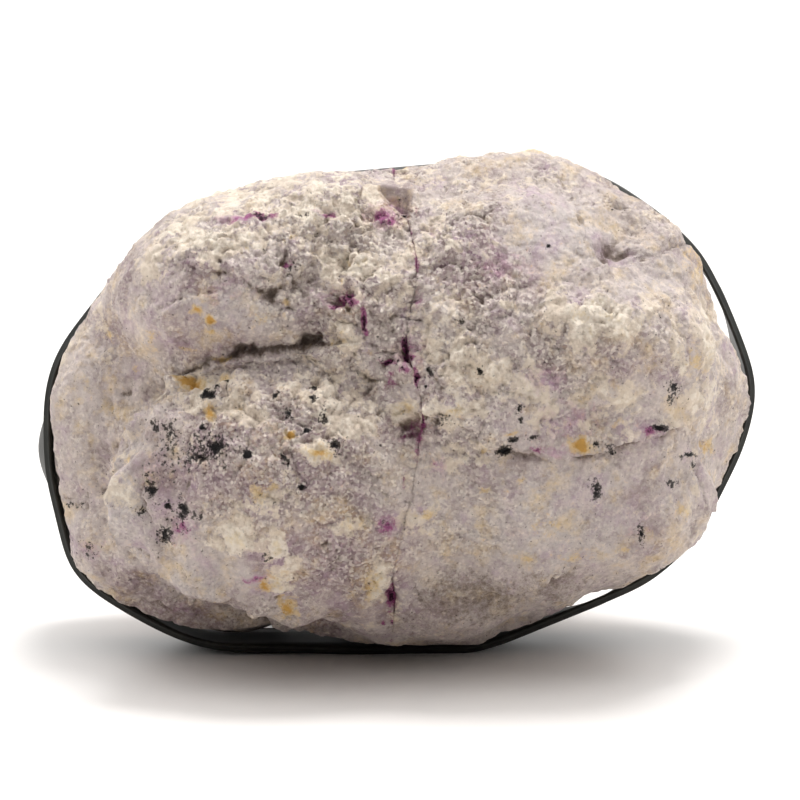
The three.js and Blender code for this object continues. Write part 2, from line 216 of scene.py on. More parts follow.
DYE_SPOTS = [
    (-19.6, 26, 1.9, 0.5, 1.7), (-23.4, 25.6, 1.4, 0.4, 0.75), (-10.2, 26.3, 1.2, 0.5, 1),
    (-7.7, 14.4, 1.2, 0.8, 1.1),
    (-6.5, 13.7, 0.8, 0.8, 1), (-9.2, 13.4, 0.9, 0.6, 1), (-4.9, 11.2, 0.4, 1.7, 1.3),
    (-15.4, 19.3, 0.7, 0.6, 0.8), (-2, 25.9, 0.7, 1.1, 0.9), (2.3, 27, 0.4, 0.6, 0.8),
    (-2.6, 26.4, 1.3, 0.9, 0.75), (-1, 25.3, 1, 0.8, 0.8), (1.1, 24.9, 0.3, 1, 0.8),
    (0.9, 7.9, 0.6, 1, 1.5), (1, 6.5, 1, 0.5, 1.3), (-1.7, 5.2, 1.4, 0.5, 1),
    (-1.5, 2.6, 0.8, 1.9, 0.6), (2, 3.1, 0.45, 1.5, 1.4), (0.4, 4.6, 1.2, 1.2, 0.7),
    (3.2, -2.6, 0.25, 1.4, 1.5),
    (1.5, -3.9, 1.7, 1.5, 0.5), (0.9, -5, 1.2, 0.9, 0.5),
    (-1.2, -27.9, 0.7, 2, 1), (-2.3, -31.3, 0.4, 0.4, 1),
    (-1.2, -31.3, 0.4, 0.4, 1), (0.6, -11.3, 0.4, 1.7, 0.7), (-1.8, -17.6, 1.3, 1.3, 0.75),
    (19.6, -7, 1.7, 0.6, 0.7), (5.1, -8.9, 0.7, 0.4, 0.7), (34.8, -4.2, 1.1, 0.6, 0.8),
    (25, -13, 1.4, 0.8, 0.35), (2.7, 14.1, 0.4, 0.8, 0.7), (-30.2, -17.9, 1.1, 0.8, 0.7),
    (-20.1, -24.5, 1.7, 0.4, 0.8),
]
OCHRE = [
    (-28.9, 1.8, 1.5, 1, 1.2), (-24.4, 2.3, 1.1, 0.7, 0.75), (-26.4, -2.8, 0.9, 1, 1.1),
    (-15.3, -5.1, 0.9, 0.6, 1.1), (-11.5, -7.9, 1.6, 0.9, 0.8), (-18.2, -12.2, 0.8, 0.6, 0.55),
    (-20.5, -12.2, 1, 0.6, 0.45), (-22.6, -2.1, 0.7, 0.7, 0.4), (-28.4, 12.8, 0.9, 0.5, 1.1),
    (-26.3, 11.7, 0.6, 0.7, 1.2), (-26.5, 10, 0.7, 0.5, 0.8), (-40.9, 9.2, 0.5, 0.7, 0.6),
    (-37.2, 4.2, 0.5, 0.6, 0.6), (-35.3, 7.8, 0.9, 1.8, 0.45), (-30.6, 6.9, 1.5, 0.4, 0.5),
    (-25.1, 5.4, 1.6, 0.6, 0.6), (-41.3, -0.8, 0.9, 0.7, 0.5), (-38.8, -4, 0.7, 0.5, 0.45),
    (-15.8, 13.7, 0.8, 0.6, 0.5), (-19.2, 11.8, 1, 0.7, 0.5), (-16.7, 12.4, 0.8, 0.5, 0.45),
    (-8.1, 8.4, 1.5, 1, 0.45), (-4.4, 6.5, 0.8, 0.5, 0.5), (-15.4, 22.8, 1.6, 0.6, 0.45),
    (-22.6, 21.7, 1, 0.4, 0.4), (-7.2, 19.6, 0.9, 0.8, 0.4), (-8.1, 16.5, 0.6, 0.6, 0.45),
    (-4.2, -25.7, 1.4, 1.8, 0.65), (-6.4, -17.4, 1.9, 1.3, 0.5), (-18.9, -25.4, 0.9, 0.6, 1.1),
    (-15.8, -28.4, 1.2, 1.1, 0.95), (0.8, -1.3, 1.3, 0.9, 0.55), (-37.4, -8.5, 0.5, 0.8, 0.5),
    (-41.3, -18, 0.7, 1, 0.45), (-19.8, -13, 1.6, 1.6, 0.5), (-17.5, -24.6, 1.6, 1.6, 0.4),
    (25.1, -6.4, 1.3, 0.9, 1.25), (30.4, -3, 0.9, 0.6, 0.55), (15.9, -4.6, 0.9, 0.5, 0.75),
    (12.2, -7, 1, 0.5, 0.6), (20.5, -17.3, 1.9, 0.8, 0.55), (18, -21.4, 2.2, 0.5, 0.5),
    (24.3, -21.3, 2, 0.7, 0.55), (30.8, -20.4, 1.3, 0.4, 0.45), (12.2, -12.2, 0.6, 0.5, 0.6),
    (17.1, -11.1, 0.9, 0.7, 0.45), (4, -16, 1.2, 1, 0.55), (39.2, -15.5, 0.9, 1.2, 0.5),
    (42.9, -6.6, 1.2, 1.1, 0.75), (42.3, 19.4, 1.3, 3.5, 0.5), (41.7, 5.6, 1.4, 2.2, 0.5),
    (7.8, -1.7, 1.7, 1.1, 0.4),
]
BLACK = [
    (-26.6, -0.3, 0.8, 0.6, 1.2), (-25.3, 0.6, 0.6, 0.5, 1.1), (-24.1, 1.4, 0.45, 0.4, 1.2),
    (-17.4, 0.6, 0.4, 0.5, 1.1), (-12.2, 1.5, 0.4, 0.7, 0.9), (-15.7, -2.3, 0.6, 0.8, 1.1),
    (-13.2, -4.6, 0.6, 0.5, 1.3), (-27, -4.8, 0.55, 0.5, 1.4), (-25.4, -7, 1.6, 1.3, 1),
    (-27.8, -8.3, 1.7, 0.8, 1), (-26.3, -7.2, 3, 2.2, 0.7), (-31.8, -8, 2, 4, 0.45),
    (-31, -16, 2.2, 3, 0.4), (-31.5, -5.5, 1.1, 1.7, 0.75),
    (-29.1, -8.4, 1.2, 1.5, 0.65), (-21.2, -7.9, 0.55, 0.65, 1.4), (-16.3, -8, 0.45, 0.55, 1.3),
    (-16, -8.9, 0.5, 0.5, 0.8), (-24.1, -9.4, 0.4, 0.35, 1), (-13.9, -12.4, 0.6, 0.4, 1.1),
    (-33.4, -12, 0.6, 1.4, 0.9), (-31.6, -14.6, 0.5, 0.7, 1.1), (-29.5, -15.3, 0.8, 0.9, 1.1),
    (-30.2, -16.3, 0.7, 0.7, 1), (-28, -15.9, 0.6, 0.8, 0.9), (-33.6, -4.6, 0.5, 0.6, 0.9),
    (-32.5, -19, 1, 1.2, 1), (-35, -15.5, 0.5, 0.8, 0.7), (-18.7, -21.8, 0.5, 0.5, 0.8),
    (-9.2, -6.3, 1.1, 0.9, 1.1), (-10.8, -2.7, 0.6, 0.8, 0.9), (-12.2, -0.5, 0.4, 0.8, 0.9),
    (-2.8, -6.6, 0.4, 0.3, 0.9), (-44.1, -21.3, 0.9, 1.2, 0.6), (16.5, -1.3, 0.4, 0.6, 1),
    (16.8, -2.8, 0.4, 0.5, 1), (16, -5.5, 0.5, 0.4, 1.1), (18.3, -5.4, 0.6, 0.45, 1),
    (14.8, -7.1, 0.8, 0.9, 1.2), (27.4, -6.2, 0.6, 0.4, 1), (29.3, -6.8, 0.7, 0.45, 1.1),
    (30.3, -7.4, 0.5, 0.4, 1), (36, -3.9, 0.8, 0.6, 1.1), (27.2, -12.2, 0.6, 1.3, 1),
    (33.6, -18.2, 0.5, 1.2, 0.8), (38.4, 1.4, 0.9, 1, 0.9), (37.9, 0.3, 0.7, 0.5, 0.9),
    (40.1, -7.7, 0.9, 0.5, 1), (40.9, -9.4, 0.5, 0.7, 1.1), (37.9, -11.6, 1, 0.5, 0.9),
    (11.3, 3.9, 0.5, 0.4, 1), (4.1, 3.9, 0.7, 0.7, 1), (3.4, 1.9, 0.25, 0.25, 1.2),
    (6.3, -2.7, 1.2, 0.8, 0.55), (8.5, 11.1, 0.6, 0.4, 0.9),
    (20.7, 22, 0.25, 0.25, 1.2), (30.4, 28, 0.4, 0.3, 0.8), (-15.4, 18.6, 1, 0.7, 0.6),
    (-7.4, 14.1, 0.6, 0.7, 0.7), (-1.5, 5.4, 1.4, 0.7, 0.5), (-45.8, -14.8, 0.8, 0.4, 0.6),
    (-13.4, 25.9, 1.1, 0.6, 0.5),
]

# What each colour layer of the stone's mesh carries in red, green and blue.
FIELDS = {
    "stain": ("dye", "ochre", "black"),
    "crust": ("chalk", "hollow", "spot"),
    "ground": ("lilac", "clear", "coarse"),
}


def smoothstep(low, high, x):
    t = np.clip((x - low) / (high - low), 0, 1)
    return t * t * (3 - 2 * t)


def scrambled(cells, seed):
    """A whole random number for each lattice cell, the same every time."""
    c = cells.astype(np.int64)
    h = c[:, 0] * 374761393 + c[:, 1] * 668265263 + c[:, 2] * 1442695041 + seed * 974634599
    h = (h ^ (h >> 13)) * 1274126177 & 0x7FFFFFFF
    return (h ^ (h >> 16)) * 1103515245 & 0x7FFFFFFF


def noise(points, size, seed):
    """Smooth gradient noise, about -1 to 1, with lumps of a size in millimetres."""
    q = points / size
    base = np.floor(q)
    f = q - base
    fade = f * f * f * (f * (f * 6 - 15) + 10)
    total = np.zeros(len(q))
    for corner in np.ndindex(2, 2, 2):
        h = scrambled(base + corner, seed)
        turn = (h & 1023) * (2 * math.pi / 1024)
        rise = ((h >> 10) & 1023) / 511.5 - 1
        flat = np.sqrt(1 - rise * rise)
        d = f - corner
        slope = (np.cos(turn) * d[:, 0] + np.sin(turn) * d[:, 1]) * flat + rise * d[:, 2]
        total += slope * np.where(corner, fade, 1 - fade).prod(axis=1)
    return total * 1.6


def grains(points, size, seed):
    """Distances to the nearest and next scattered grain, in grain sizes, and the nearest's number."""
    q = points / size
    base = np.floor(q)
    first = np.full(len(q), 9.0)
    second = first.copy()
    number = np.zeros(len(q))
    for step in np.ndindex(3, 3, 3):
        cell = base + np.array(step) - 1
        h = scrambled(cell, seed)
        spot = cell + np.stack([(h & 1023), (h >> 10) & 1023, (h >> 20) & 1023], axis=1) / 1023
        d = np.linalg.norm(q - spot, axis=1)
        nearer = d < first
        second = np.where(nearer, first, np.minimum(second, d))
        number = np.where(nearer, (h % 997) / 996, number)
        first = np.where(nearer, d, first)
    return first, second, number


def edges_of(tris):
    """Each edge once as a pair of corners, and the three edges of each face."""
    pairs = np.sort(tris[:, [[0, 1], [1, 2], [2, 0]]].reshape(-1, 2), axis=1)
    many = int(tris.max()) + 1
    keys, of_face = np.unique(pairs[:, 0] * many + pairs[:, 1], return_inverse=True)
    return np.stack([keys // many, keys % many], axis=1), of_face.reshape(-1, 3)


def used_by(tris, count):
    """Marks the points that some faces use."""
    used = np.zeros(count, bool)
    used[tris] = True
    return used


def crossed(verts, tris):
    """Each face's middle, and its normal, twice as long as the face is large."""
    a, b, c = verts[tris].transpose(1, 0, 2)
    return (a + b + c) / 3, np.cross(b - a, c - a)


def split_long(verts, tris, kinds, limit_of):
    """Halves edges that are longer than their faces allow, until none is."""
    while True:
        edges, of_face = edges_of(tris)
        limit = np.full(len(edges), np.inf)
        np.minimum.at(limit, of_face.ravel(), np.repeat(limit_of(verts, tris, kinds), 3))
        long = np.linalg.norm(verts[edges[:, 0]] - verts[edges[:, 1]], axis=1) > limit
        if not long.any():
            return verts, tris, kinds
        middle = np.full(len(edges), -1)
        middle[long] = len(verts) + np.arange(long.sum())
        verts = np.vstack([verts, verts[edges[long]].mean(axis=1)])
        cut = middle[of_face]
        cuts = (cut >= 0).sum(axis=1)
        made, made_kinds = [tris[cuts == 0]], [kinds[cuts == 0]]
        for turn in range(3):
            t = np.roll(tris, -turn, axis=1)
            m = np.roll(cut, -turn, axis=1)
            one = (cuts == 1) & (m[:, 0] >= 0)
            two = (cuts == 2) & (m[:, 2] < 0)
            a, b, c = t.T
            ab, bc, _ = m.T
            for chosen, corners in (
                (one, ((a, ab, c), (ab, b, c))),
                (two, ((ab, b, bc), (a, ab, bc), (a, bc, c))),
            ):
                for face in corners:
                    made.append(np.stack(face, axis=1)[chosen])
                    made_kinds.append(kinds[chosen])
        all_three = cuts == 3
        a, b, c = tris[all_three].T
        ab, bc, ca = cut[all_three].T
        for face in ((a, ab, ca), (ab, b, bc), (ca, bc, c), (ab, bc, ca)):
            made.append(np.stack(face, axis=1))
            made_kinds.append(kinds[all_three])
        tris, kinds = np.vstack(made), np.concatenate(made_kinds)


def averaged(values, edges, count):
    """The mean of each point's neighbours."""
    a, b = edges.T
    return (np.bincount(a, values[b], count) + np.bincount(b, values[a], count)) / np.maximum(
        np.bincount(a, minlength=count) + np.bincount(b, minlength=count), 1
    )


def middles(verts, edges):
    """The middle of each point's neighbours."""
    return np.stack([averaged(verts[:, k], edges, len(verts)) for k in range(3)], axis=1)


def relaxed(verts, tris, free, rounds):
    """Rounds the facets off by drawing free points to the middle of their neighbours."""
    edges, _ = edges_of(tris)
    verts = verts.copy()
    for _ in range(rounds):
        verts[free] += 0.5 * (middles(verts, edges) - verts)[free]
    return verts


def normals_of(verts, tris):
    _, face = crossed(verts, tris)
    total = np.stack(
        [sum(np.bincount(tris[:, i], face[:, k], len(verts)) for i in range(3)) for k in range(3)], axis=1
    )
    return total / np.maximum(np.linalg.norm(total, axis=1, keepdims=True), 1e-12)


def on_face(verts, normals):
    """Across and up on the stone's face as an eye in front sees it, and how much a point faces it."""
    d = verts - CENTRE
    up = d[:, 2] * math.cos(LEAN) + d[:, 1] * math.sin(LEAN)
    toward = d[:, 2] * math.sin(LEAN) - d[:, 1] * math.cos(LEAN)
    grow = EYE / (EYE - toward)
    facing = normals[:, 2] * math.sin(LEAN) - normals[:, 1] * math.cos(LEAN)
    return np.stack([d[:, 0] * grow, up * grow], axis=1), smoothstep(-0.05, 0.2, facing)


def in_notch(places):
    """How far from the middle of the notch a place is: 1 at its rim."""
    across, up, wide, above, below, lean = NOTCH
    rise = places[:, 1] - up
    down = np.clip(-rise / below, 0, 1)
    side = (places[:, 0] - across - lean * down) / (wide * (1 - 0.7 * down))
    return np.hypot(side, rise / np.where(rise > 0, above, below))


def in_oval(places, across, up, wide, high):
    """How far out in an oval each place is, squared: 1 at its edge."""
    return ((places[:, 0] - across) / wide) ** 2 + ((places[:, 1] - up) / high) ** 2


def round_notch(places):
    """How far out in the oval round the notch a place is: 1 at its edge."""
    return np.sqrt(in_oval(places, *ROUND_NOTCH))


def bends(points):
    """The terms of a bent surface over the notch, by place across and distance toward the eye."""
    x = points[:, 0] - CENTRE[0] - ROUND_NOTCH[0]
    t = ((CENTRE - points) @ BACKWARD - NOTCH_WALL) / 10
    return np.stack([np.ones(len(x)), x, t, x * x, x * t, t * t, t ** 3], axis=1)


def ground_at_notch():
    """The surface the notch was broken out of, fitted to what stands round it on both halves."""
    points = []
    for node in ("left_half", "right_half"):
        middle, face = crossed(*node_mesh(node))
        points.append(middle[np.abs(face[:, 0]) < 0.7 * np.linalg.norm(face, axis=1)])
    points = np.vstack(points)
    away = round_notch(on_face(points, points)[0])
    ring = (away > 0.95) & (away < 2) & ((CENTRE - points) @ BACKWARD > -5)
    return np.linalg.lstsq(bends(points[ring]), (points[ring] - CENTRE) @ UPWARD, rcond=None)[0]


def scooped(verts, tris, kinds):
    """Lays the skin smoothly over the top of the break and presses the notch into it."""
    ground = ground_at_notch()
    skin = used_by(tris[kinds == 0], len(verts))
    rim = skin & used_by(tris[kinds == 1], len(verts))
    edges, _ = edges_of(tris[kinds == 0])
    on_rim = edges[rim[edges].all(axis=1)]
    verts = verts.copy()
    places, _ = on_face(verts, verts)
    inside = skin & (round_notch(places) < 1) & ((CENTRE - verts) @ BACKWARD > 3)
    for _ in range(60):
        for chosen, links in ((inside & ~rim, edges), (inside & rim, on_rim)):
            verts[chosen] = middles(verts, links)[chosen]
        below = bends(verts[inside]) @ ground - (verts[inside] - CENTRE) @ UPWARD
        places, _ = on_face(verts[inside], verts[inside])
        verts[inside] += (below * smoothstep(1, 0.85, round_notch(places)))[:, None] * UPWARD
    places, _ = on_face(verts, verts)
    over = (CENTRE - verts) @ BACKWARD - NOTCH_WALL - 0.25 * (NOTCH[1] + NOTCH[3] - places[:, 1])
    ratio = in_notch(places)
    share = np.where(inside, smoothstep(1.05, 0.75, ratio), 0) * np.maximum(over, 0)
    share += np.where(~skin & (ratio < 1.2), np.maximum(over + 1, 0), 0)
    return verts + share[:, None] * BACKWARD


def beside_path(places, path):
    """Signed distance to a path: positive on its left."""
    best = np.full(len(places), np.inf)
    signed = best.copy()
    for start, end in zip(np.array(path[:-1], float), np.array(path[1:], float)):
        along = end - start
        t = np.clip((places - start) @ along / (along @ along), 0, 1)
        away = places - start - t[:, None] * along
        d = np.linalg.norm(away, axis=1)
        side = np.sign(along[0] * (places - start)[:, 1] - along[1] * (places - start)[:, 0])
        signed = np.where(d < best, d * side, signed)
        best = np.minimum(best, d)
    return signed


def blots(places, table, edge=2):
    """The strongest of a table's ovals at each place; a lower edge makes them fade more softly."""
    strongest = np.zeros(len(places))
    for *oval, strength in table:
        strongest = np.maximum(strongest, strength * np.exp(-0.7 * in_oval(places, *oval) ** edge))
    return strongest


def srgb(hex_code):
    """A colour written as on screen, in the linear values a shader wants."""
    parts = [int(hex_code[i:i + 2], 16) / 255 for i in (1, 3, 5)]
    return [p / 12.92 if p <= 0.04045 else ((p + 0.055) / 1.055) ** 2.4 for p in parts] + [1.0]


def add(tree, kind, inputs=None, **settings):
    """Adds a node, sets its fields, then sets or links its inputs."""
    node = tree.nodes.new(kind)
    for field, value in settings.items():
        setattr(node, field, value)
    for socket, value in (inputs or {}).items():
        if isinstance(value, bpy.types.NodeSocket):
            tree.links.new(value, node.inputs[socket])
        else:
            node.inputs[socket].default_value = value
    return node


def worked(tree, operation, *values, vector=False):
    """The result of a maths node or a vector maths node."""
    kind = "ShaderNodeVectorMath" if vector else "ShaderNodeMath"
    node = add(tree, kind, dict(enumerate(values)), operation=operation)
    return node.outputs["Value" if operation == "DOT_PRODUCT" else 0]


def new_material(name):
    material = bpy.data.materials.new(name)
    material.use_nodes = True
    return material, material.node_tree, material.node_tree.nodes["Principled BSDF"]


def calcite_material(sizes):
    """Dyed calcite: sugary, grey-lilac and a little clear, with chalk, dye, ochre and manganese."""
    # Broken crystal gives the eye a fine sparkle of small faces; the crusts on it are dull and chalky.
    material, tree, shader = new_material("Dyed calcite")
    grain_mm = 0.36
    speck_rise = 0.00035
    # Patterns are drawn out in depth, so that they don't crowd where the stone turns away
    place = add(tree, "ShaderNodeTexCoord").outputs["Object"]
    place = worked(tree, "MULTIPLY", place, (1.0, 0.5, 1.0), vector=True)
    fields = {}
    for name, parts in FIELDS.items():
        colour = add(tree, "ShaderNodeAttribute", attribute_name=name).outputs["Color"]
        split = add(tree, "ShaderNodeSeparateColor", {"Color": colour})
        fields.update(zip(parts, split.outputs))

    # Patterns by the size of their largest lumps in millimetres, number of finer octaves and how
    # strong these are; the crystals are single grains of about a third of a millimetre.
    patterns = {}
    kinds = (("fine", 0.5, 4, 0.7), ("ragged", 1.2, 6, 0.75), ("clumps", 3.6, 8, 0.75),
             ("broad", 9.0, 7, 0.68), ("hue", 4.5, 8, 0.7), ("speck", 0.9, 8, 0.8))
    for name, size, detail, rough in kinds:
        inputs = {"Vector": place, "W": size, "Scale": 1000 / size, "Detail": detail, "Roughness": rough}
        patterns[name] = add(tree, "ShaderNodeTexNoise", inputs, noise_dimensions="4D").outputs["Fac"]
    crystals = add(tree, "ShaderNodeTexVoronoi", {"Vector": place, "Scale": 1000 / grain_mm})
    split = add(tree, "ShaderNodeSeparateColor", {"Color": crystals.outputs["Color"]})
    patterns["crystals"], patterns["pale"] = split.outputs[:2]
    fields["all"] = 0.0

    # Each layer: the field it follows, the pattern that breaks it up and how much, the values
    # between which it comes in, how well it covers, and its colour.
    layers = (
        ("lilac", "broad", 3.0, 0.15, 0.8, 1.0, sizes.lilac_hex),
        ("clear", "clumps", 3.0, 0.4, 1.0, 0.75, "#bcb3b0"),
        ("all", "broad", 3.0, 0.0, 0.35, 0.5, "#8a7974"),
        ("all", "hue", 3.0, 0.05, 0.4, 0.55, "#d9bd8a"),
        ("all", "hue", -3.0, 0.05, 0.5, 0.55, "#a6879f"),
        ("all", "clumps", 3.0, 0.0, 0.3, 0.5, "#d5c6bb"),
        ("all", "speck", 3.0, 0.0, 0.6, 0.5, "#6e5c5e"),
        ("all", "ragged", 3.0, 0.0, 0.5, 0.5, "#dfcfc6"),
        ("coarse", "crystals", 1.0, 0.5, 1.4, 0.65, "#f2e8da"),
        ("coarse", "pale", 1.0, 0.55, 1.4, 0.5, "#6a5154"),
        ("chalk", "clumps", 3.0, 0.35, 0.5, 0.65, sizes.chalk_hex),
        ("chalk", "ragged", 2.6, 0.55, 0.75, 0.7, "#e8ddce"),
        ("chalk", "speck", 2.4, 0.85, 1.1, 0.5, "#dcc69c"),
        # Painted shade with some dirt: dark brown in hollows, pits, under ledges and along the break
        ("hollow", "speck", 2.4, 0.45, 1.0, 0.75, "#665446"),
        ("dye", "ragged", 2.0, 0.3, 1.0, 0.6, sizes.dye_hex),
        ("spot", "speck", 2.6, 0.45, 0.75, 0.75, "#8c2a6e"),
        ("spot", "fine", 3.0, 0.75, 1.1, 0.92, "#26091a"),
        ("ochre", "ragged", 2.8, 0.28, 0.65, 0.62, "#d5b67a"),
        ("ochre", "speck", 2.6, 0.65, 0.95, 0.85, sizes.ochre_hex),
        ("black", "fine", 4.0, 0.5, 0.7, 0.88, "#0f090b"),
        ("black", "speck", 3.0, 0.75, 0.9, 1.0, "#080405"),
    )
    colour = srgb(sizes.clear_hex)
    for field, pattern, weight, low, high, cover, paint in layers:
        broken = worked(tree, "MULTIPLY_ADD", patterns[pattern], weight, fields[field])
        share = add(tree, "ShaderNodeMapRange", {
            "Value": broken, "From Min": low + weight / 2, "From Max": high + weight / 2,
            "To Max": cover}).outputs["Result"]
        colour = add(tree, "ShaderNodeMix", {0: share, 6: colour, 7: srgb(paint)},
                     data_type="RGBA").outputs[2]
    tree.links.new(colour, shader.inputs["Base Color"])

    # Every grain is a small face tilted its own way, steeper where the stone is coarse
    inside = worked(tree, "SUBTRACT", place, crystals.outputs["Position"], vector=True)
    tilt = worked(tree, "SUBTRACT", crystals.outputs["Color"], (0.5, 0.5, 0.5), vector=True)
    rise = worked(tree, "DOT_PRODUCT", inside, tilt, vector=True)
    steep = worked(tree, "MULTIPLY", rise, fields["coarse"])
    relief = worked(tree, "MULTIPLY_ADD", patterns["speck"], speck_rise, steep)
    bump = add(tree, "ShaderNodeBump", {"Height": relief, "Strength": 1.0, "Distance": 1.0})
    tree.links.new(bump.outputs["Normal"], shader.inputs["Normal"])
    shader.inputs["Roughness"].default_value = 0.5
    shader.inputs["IOR"].default_value = 1.6
    shader.inputs["Specular IOR Level"].default_value = 0.12
    return material


def rubber_material(sizes):
    """Inner tube rubber: black with an olive cast, satin, dulled by stone dust."""
    # Moulded rubber gives the eye a soft broad sheen, cloudy where dust clings to it.
    material, tree, shader = new_material("Inner tube rubber")
    dust_mm = 2.5
    grit_mm = 0.6
    place = add(tree, "ShaderNodeTexCoord").outputs["Object"]
    dust = add(tree, "ShaderNodeTexNoise", {"Vector": place, "Scale": 1000 / dust_mm, "Detail": 5.0})
    share = add(tree, "ShaderNodeMapRange", {
        "Value": dust.outputs["Fac"], "From Min": 0.45, "From Max": 0.8, "To Max": 0.25}).outputs["Result"]
    colour = add(tree, "ShaderNodeMix", {0: share, 6: srgb(sizes.rubber_hex), 7: srgb("#54524a")},
                 data_type="RGBA").outputs[2]
    tree.links.new(colour, shader.inputs["Base Color"])
    fine = add(tree, "ShaderNodeTexNoise", {"Vector": place, "Scale": 1000 / grit_mm, "Detail": 3.0})
    bump = add(tree, "ShaderNodeBump", {
        "Height": fine.outputs["Fac"], "Strength": 0.4, "Distance": 0.00006})
    tree.links.new(bump.outputs["Normal"], shader.inputs["Normal"])
    shader.inputs["Roughness"].default_value = 0.5
    shader.inputs["IOR"].default_value = 1.52
    return material


def node_mesh(name):
    """A solid's corners in millimetres, welded, and its triangles."""
    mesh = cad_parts[name].data
    mesh.calc_loop_triangles()
    co = np.empty(len(mesh.vertices) * 3, np.float32)
    mesh.vertices.foreach_get("co", co)
    tris = np.empty(len(mesh.loop_triangles) * 3, np.int32)
    mesh.loop_triangles.foreach_get("vertices", tris)
    points = co.reshape(-1, 3).astype(float) * 1000
    _, first, where = np.unique(np.round(points, 3), axis=0, return_index=True, return_inverse=True)
    tris = where.reshape(-1)[tris].reshape(-1, 3)
    keep = (tris[:, 0] != tris[:, 1]) & (tris[:, 1] != tris[:, 2]) & (tris[:, 2] != tris[:, 0])
    return points[first], tris[keep].astype(np.int64)


def new_piece(name, verts_mm, faces, material, node):
    """A shown mesh in place of a solid."""
    mesh = bpy.data.meshes.new(name)
    mesh.from_pydata((verts_mm / 1000).tolist(), [], faces.tolist())
    mesh.validate()
    mesh.polygons.foreach_set("use_smooth", np.ones(len(mesh.polygons), bool))
    mesh.materials.append(material)
    piece = bpy.data.objects.new(name, mesh)
    bpy.context.scene.collection.objects.link(piece)
    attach(piece, "root")
    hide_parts(node)
    return piece


def nearest_distance(points, verts):
    """How far each vertex lies from the nearest of some points."""
    tree = KDTree(len(points))
    for i, point in enumerate(points):
        tree.insert(point, i)
    tree.balance()
    return np.array([tree.find(v)[2] for v in verts])


def shifts(verts, size, seeds):
    """Noises side by side, to shake places with."""
    return np.stack([noise(verts, size, seed) for seed in seeds], axis=1)


def behind_band(verts):
    """How far behind the band's plane each vertex lies."""
    return verts[:, 1] - verts[:, 0] * BAND_TURN - verts[:, 2] * BAND_SLOPE


def ledges_and_pits(verts, places, torn, front):
    """How far the ledges stand out, how shaded their feet are, and how deep the pits go."""
    jitter = 0.6 * noise(verts, 2.4, 31) + 0.4 * noise(verts, 1.0, 32)
    uneven = np.clip(0.75 + 1.1 * noise(verts, 4.5, 36), 0.2, 1.3)
    ledge = np.zeros(len(verts))
    shadow = np.zeros(len(verts))
    for _, path, height, reach in LEDGES:
        s = beside_path(places, path) + jitter
        step = smoothstep(-0.3, 0.3, s)
        foot = (1 - step) * np.exp(np.minimum(s, 0) / 0.7)
        ledge += height * uneven * (step * np.exp(-np.maximum(s, 0) / reach) - 0.7 * foot) * front
        shadow = np.maximum(shadow, height * uneven * foot * front)
    pit = np.zeros(len(verts))
    for across, up, radius, depth in PITS:
        r = np.linalg.norm(torn - (across, up), axis=1) / (0.85 * radius)
        pit += depth * np.exp(-r ** 3) * front
    return ledge, shadow, pit


def uneven_ground(verts, warp, coarse, rough):
    """Lumps, flakes and crystals, stronger where the stone is coarse."""
    lumps = 0.5 * noise(verts, 6.0, 1) + 0.32 * noise(verts, 2.9, 2)
    stairs = 3.2 * noise(verts + 0.8 * warp, 10.0, 7) + 0.5 * noise(verts, 2.0, 8)
    flakes = np.floor(stairs) + smoothstep(0.75, 1.0, stairs - np.floor(stairs)) - stairs
    drawn = verts * (1, 0.6, 1)
    crystals = 0.22 * noise(drawn, 0.8, 5)
    for kind, (size, shake, gap, level, share, seed) in CRYSTALS.items():
        points = verts if kind == "chunks" else drawn
        first, second, number = grains(points + shake * warp, size, seed)
        crystals += share * (np.clip(second - first, 0, gap) - level + 0.5 * (number - 0.5))
    return lumps * 0.8 + 0.4 * flakes * np.clip(coarse, 0.2, 1) + rough * crystals


def fitted(height, verts, places, front):
    """The relief worn flat under the band, swelling beside it, dented, and flat on the floor."""
    depth = behind_band(verts)
    held = smoothstep(BAND_EDGES[0] - 1.5, BAND_EDGES[0], depth) * smoothstep(
        BAND_EDGES[1] + 1.5, BAND_EDGES[1], depth)
    worn = np.clip(0.3 * height - 0.1, -0.5, 0.1)
    height = np.where(held > 0, height * (1 - held) + held * worn, height)
    swell = np.exp(-(((depth - BAND_EDGES[0] + 3.2) / 1.7) ** 2))
    height = height + swell * (0.7 + 0.4 * noise(verts, 8.0, 35))
    foot = np.exp(-in_oval(places, *LEFT_FOOT))
    height = height + 1.2 * foot * smoothstep(BAND_EDGES[0] - 0.3, BAND_EDGES[0] - 2.5, depth)
    for table, share in ((DENTS, 1), (VALLEYS, front * (1 - held))):
        for *oval, deep in table:
            height = height - deep * share * np.exp(-in_oval(places, *oval))
    low = smoothstep(3.0, 1.7, verts[:, 2])
    return height * (1 - low) + low * np.minimum(height, 0)


def stains(verts, places, warp, front, rim):
    """Dye, ochre and manganese: the face's own, and scattered ones of the same kinds elsewhere."""
    shaken = places + 0.35 * warp[:, :2] + 0.35 * shifts(verts, 1.1, (14, 15))
    found = {}
    for name, table, size, rare, share, seed in (
        ("dye", DYE_CLOUDS, 9.0, 0.25, 0.6, 41),
        ("spot", DYE_SPOTS, 3.0, 0.6, 1.0, 42),
        ("ochre", OCHRE, 4.0, 0.55, 0.8, 44),
        ("black", BLACK, 3.2, 0.6, 0.9, 45),
    ):
        scattered = smoothstep(rare, 0.8, noise(verts, size, seed)) * share
        found[name] = front * blots(shaken, table, 1) + (1 - front) * scattered
    along_break = np.exp(-rim / 0.5) * smoothstep(0.1, 0.7, noise(verts, 5.0, 43)) * 0.75
    found["spot"] = np.maximum(found["spot"], along_break)
    return found


